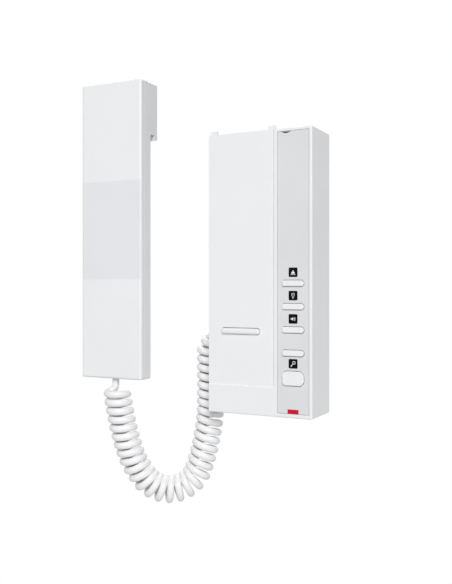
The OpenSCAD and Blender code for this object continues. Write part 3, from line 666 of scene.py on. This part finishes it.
def symbol_marks():
    """The outlines of each tile's symbol, in millimetres from the tile's middle."""
    return {
        "bell": [
            disc(0, 1.1, 0.35),
            arc(0, -0.65, 1.3, 0, 180),
            bar(-1.3, -1.0, 1.3, -0.65),
            bar(-1.8, -1.75, 1.8, -1.45),
        ],
        "bulb": [
            bow(0, 0.65, 0.9, 1.2, -60, 240),
            slanted_bar(-0.4, 0.3, 0.1, 0.95, 0.3),
            bar(-0.6, -0.9, 0.6, -0.6),
            bar(-0.6, -1.45, 0.6, -1.15),
            bar(-0.35, -1.9, 0.35, -1.7),
        ],
        "speaker": [
            bar(-1.55, -0.5, -0.95, 0.5),
            [(-0.85, -0.5), (0.05, -1.25), (0.05, 1.25), (-0.85, 0.5)],
            bow(-0.45, 0, 0.95, 1.2, -38, 38),
            bow(-0.45, 0, 1.5, 1.75, -38, 38),
            bow(-0.45, 0, 2.05, 2.25, -38, 38),
        ],
        "key": [
            bow(0.7, 0.7, 0.75, 1.15, 0, 359),
            slanted_bar(-0.05, -0.05, -1.75, -1.75, 0.4),
            slanted_bar(-1.6, -1.6, -1.05, -2.15, 0.35),
            slanted_bar(-0.95, -0.95, -0.45, -1.45, 0.35),
        ],
    }


def make_symbols(finishes):
    """The symbols printed on the tiles, as flat raised outlines."""
    shape = bmesh.new()
    for name, outlines in symbol_marks().items():
        for outline in outlines:
            back = [(TILE_X + x * MM, TILE_FRONT, TILE_ZS[name] + z * MM) for x, z in outline]
            front = [(x, y - PRINT_T, z) for x, y, z in back]
            skin(shape, (back, front))
    piece = finish_shape("icon_symbols", shape)
    dress(piece, finishes["symbol"])
    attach(piece, "base")


def scaled(tree, source, factor):
    """The output of a node that multiplies a number by a factor."""
    times = add_node(tree, "ShaderNodeMath", {1: factor}, operation="MULTIPLY")
    tree.links.new(source, times.inputs[0])
    return times.outputs[0]


def raised(tree, mesh, height):
    """The output of a node that moves a mesh along Z."""
    shift = add_node(tree, "ShaderNodeCombineXYZ")
    move = add_node(tree, "GeometryNodeTransform")
    link_nodes(
        tree,
        (height, shift.inputs["Z"]),
        (mesh, move.inputs["Geometry"]),
        (shift.outputs[0], move.inputs["Translation"]),
    )
    return move.outputs["Geometry"]


def box(tree, *sizes):
    """The output of a box node with its sizes along X, Y and Z."""
    size = add_node(tree, "ShaderNodeCombineXYZ")
    cube = add_node(tree, "GeometryNodeMeshCube")
    link_nodes(tree, *zip(sizes, size.inputs), (size.outputs[0], cube.inputs["Size"]))
    return cube.outputs["Mesh"]


def screw_head(tree, given):
    """A head with sloping sides, its top at the origin, with a cross recess cut by two boxes there."""
    head = add_node(tree, "GeometryNodeMeshCone", {"Vertices": HEAD_SIDES})
    cut = add_node(tree, "GeometryNodeMeshBoolean", operation="DIFFERENCE", solver="EXACT")
    reach = scaled(tree, given["Head Radius"], RECESS_REACH)
    depth = scaled(tree, given["Recess Depth"], 2)
    link_nodes(
        tree,
        (scaled(tree, given["Head Radius"], RIM_SHARE), head.inputs["Radius Top"]),
        (given["Head Radius"], head.inputs["Radius Bottom"]),
        (given["Head Height"], head.inputs["Depth"]),
        (raised(tree, head.outputs["Mesh"], scaled(tree, given["Head Height"], -1)), cut.inputs["Mesh 1"]),
        (box(tree, reach, given["Recess Width"], depth), cut.inputs["Mesh 2"]),
        (box(tree, given["Recess Width"], reach, depth), cut.inputs["Mesh 2"]),
    )
    return cut.outputs["Mesh"]


def screw_shank(tree, given):
    """A round shank from the underside of the head downward, placed by its middle."""
    shank = add_node(tree, "GeometryNodeMeshCylinder", {"Vertices": SHANK_SIDES})
    middle = add_node(tree, "ShaderNodeMath", {1: -0.5}, operation="MULTIPLY_ADD")
    link_nodes(
        tree,
        (given["Shank Radius"], shank.inputs["Radius"]),
        (given["Shank Length"], shank.inputs["Depth"]),
        (given["Shank Length"], middle.inputs[0]),
        (scaled(tree, given["Head Height"], -1), middle.inputs[2]),
    )
    return raised(tree, shank.outputs["Mesh"], middle.outputs[0])


def make_screw_tree():
    """Cross-head screws, one on each vertex of the object, with their heads' tops there."""
    tree = bpy.data.node_groups.new("cross_head_screws", "GeometryNodeTree")
    add_sockets(tree, "INPUT", "Geometry", "Geometry")
    add_sockets(tree, "INPUT", "Float", "Head Radius", "Head Height", "Shank Radius", "Shank Length")
    add_sockets(tree, "INPUT", "Float", "Recess Width", "Recess Depth")
    add_sockets(tree, "INPUT", "Rotation", "Turn")
    add_sockets(tree, "INPUT", "Material", "Finish")
    add_sockets(tree, "OUTPUT", "Geometry", "Geometry")
    given = add_node(tree, "NodeGroupInput").outputs
    result = add_node(tree, "NodeGroupOutput")
    screw = add_node(tree, "GeometryNodeJoinGeometry")
    spots = add_node(tree, "GeometryNodeMeshToPoints")
    set_out = add_node(tree, "GeometryNodeInstanceOnPoints")
    real = add_node(tree, "GeometryNodeRealizeInstances")
    finish = add_node(tree, "GeometryNodeSetMaterial")
    link_nodes(
        tree,
        (screw_head(tree, given), screw.inputs["Geometry"]),
        (screw_shank(tree, given), screw.inputs["Geometry"]),
        (given["Geometry"], spots.inputs["Mesh"]),
        (spots.outputs["Points"], set_out.inputs["Points"]),
        (screw.outputs["Geometry"], set_out.inputs["Instance"]),
        (given["Turn"], set_out.inputs["Rotation"]),
        (set_out.outputs["Instances"], real.inputs["Geometry"]),
        (real.outputs["Geometry"], finish.inputs["Geometry"]),
        (given["Finish"], finish.inputs["Material"]),
        (finish.outputs["Geometry"], result.inputs["Geometry"]),
    )
    return tree


def plain_mesh(piece):
    """Replaces a piece's mesh by what its modifiers make of it, and removes the modifiers."""
    bpy.context.view_layer.update()
    evaluated = piece.evaluated_get(bpy.context.evaluated_depsgraph_get())
    mesh = bpy.data.meshes.new_from_object(evaluated)
    piece.modifiers.clear()
    piece.data = mesh


def make_screws(name, body, spots, turn, length, finishes):
    """Cross-head screws in place of a node's plain ones: where their heads are, and how they are turned."""
    mesh = bpy.data.meshes.new(name + "_finish")
    mesh.from_pydata([Vector(spot) * MM for spot in spots], [], [])
    piece = bpy.data.objects.new(name + "_finish", mesh)
    bpy.context.collection.objects.link(piece)
    build = piece.modifiers.new("build", "NODES")
    build.node_group = screw_tree
    values = {
        "Head Radius": SCREW_HEAD_R,
        "Head Height": SCREW_HEAD_H,
        "Shank Radius": SCREW_R,
        "Shank Length": length - SCREW_HEAD_H,
        "Recess Width": RECESS_W,
        "Recess Depth": RECESS_DEPTH,
        "Turn": turn,
        "Finish": finishes["steel"],
    }
    for socket in screw_tree.interface.items_tree:
        if socket.in_out == "INPUT" and socket.name in values:
            build[socket.identifier] = values[socket.name]
    plain_mesh(piece)
    piece.data.shade_smooth()
    piece.data.set_sharp_from_angle(angle=SHARP_ANGLE)
    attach(piece, body)
    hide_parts(name)


def make_floor():
    """A round pale floor, well below the wall-mounted set."""
    shape = bmesh.new()
    bmesh.ops.create_circle(shape, cap_ends=True, segments=FLOOR_SIDES, radius=FLOOR_R)
    bmesh.ops.translate(shape, verts=shape.verts, vec=FLOOR_MIDDLE)
    floor = finish_shape("floor", shape)
    dress(floor, moulded("floor_pale", (244, 244, 244), (242, 242, 242), (0.7, 0.8), bump=0))


def make_world(strength):
    """Even soft light; the camera and mirror-like surfaces see plain white."""
    world = bpy.data.worlds.new("studio")
    world.use_nodes = True
    bpy.context.scene.world = world
    tree = world.node_tree
    tree.nodes.clear()
    white = (1, 1, 1, 1)
    path = add_node(tree, "ShaderNodeLightPath")
    seen = add_node(tree, "ShaderNodeMath", operation="MAXIMUM")
    clear = add_node(tree, "ShaderNodeMath", operation="MAXIMUM")
    light = add_node(tree, "ShaderNodeBackground", {"Color": white, "Strength": strength})
    plain = add_node(tree, "ShaderNodeBackground", {"Color": white, "Strength": 1})
    choose = add_node(tree, "ShaderNodeMixShader")
    out = add_node(tree, "ShaderNodeOutputWorld")
    link_nodes(
        tree,
        (path.outputs["Is Camera Ray"], seen.inputs[0]),
        (path.outputs["Is Glossy Ray"], seen.inputs[1]),
        (seen.outputs[0], clear.inputs[0]),
        (path.outputs["Is Transmission Ray"], clear.inputs[1]),
        (clear.outputs[0], choose.inputs[0]),
        (light.outputs[0], choose.inputs[1]),
        (plain.outputs[0], choose.inputs[2]),
        (choose.outputs[0], out.inputs["Surface"]),
    )


def make_lamp(name, place, aim, width, height, power):
    lamp = bpy.data.lights.new(name, "AREA")
    lamp.shape = "RECTANGLE"
    lamp.size = width
    lamp.size_y = height
    lamp.energy = power
    holder = bpy.data.objects.new(name, lamp)
    holder.location = place
    holder.rotation_euler = (Vector(aim) - Vector(place)).to_track_quat("-Z", "Y").to_euler()
    bpy.context.collection.objects.link(holder)


make_camera()
cords = make_cord()
moulded_surface = make_moulding_group()
finishes = make_finishes()
for cord in cords:
    dress(cord, finishes["cord"])
for name, body, slot in SMOOTHED:
    smooth_copy(name, body, finishes, slot)
for name, slot in PAINTED:
    paint(name, finishes[slot])
make_bed_slope(finishes)
make_symbols(finishes)

screw_tree = make_screw_tree()
make_screws("handset_screws", "handset", HANDSET_SCREWS, FACING_BACK, HANDSET_SCREW_LEN, finishes)
make_screws("cover_screw", "base", COVER_SCREW, FACING_DOWN, COVER_SCREW_LEN, finishes)
make_screws("board_screws", "base", BOARD_SCREWS, FACING_FRONT, BOARD_SCREW_LEN, finishes)

make_floor()
make_world(EVEN_LIGHT)
for name, lamp in LAMPS.items():
    make_lamp(name, *lamp)

bpy.context.scene.view_settings.view_transform = "Standard"
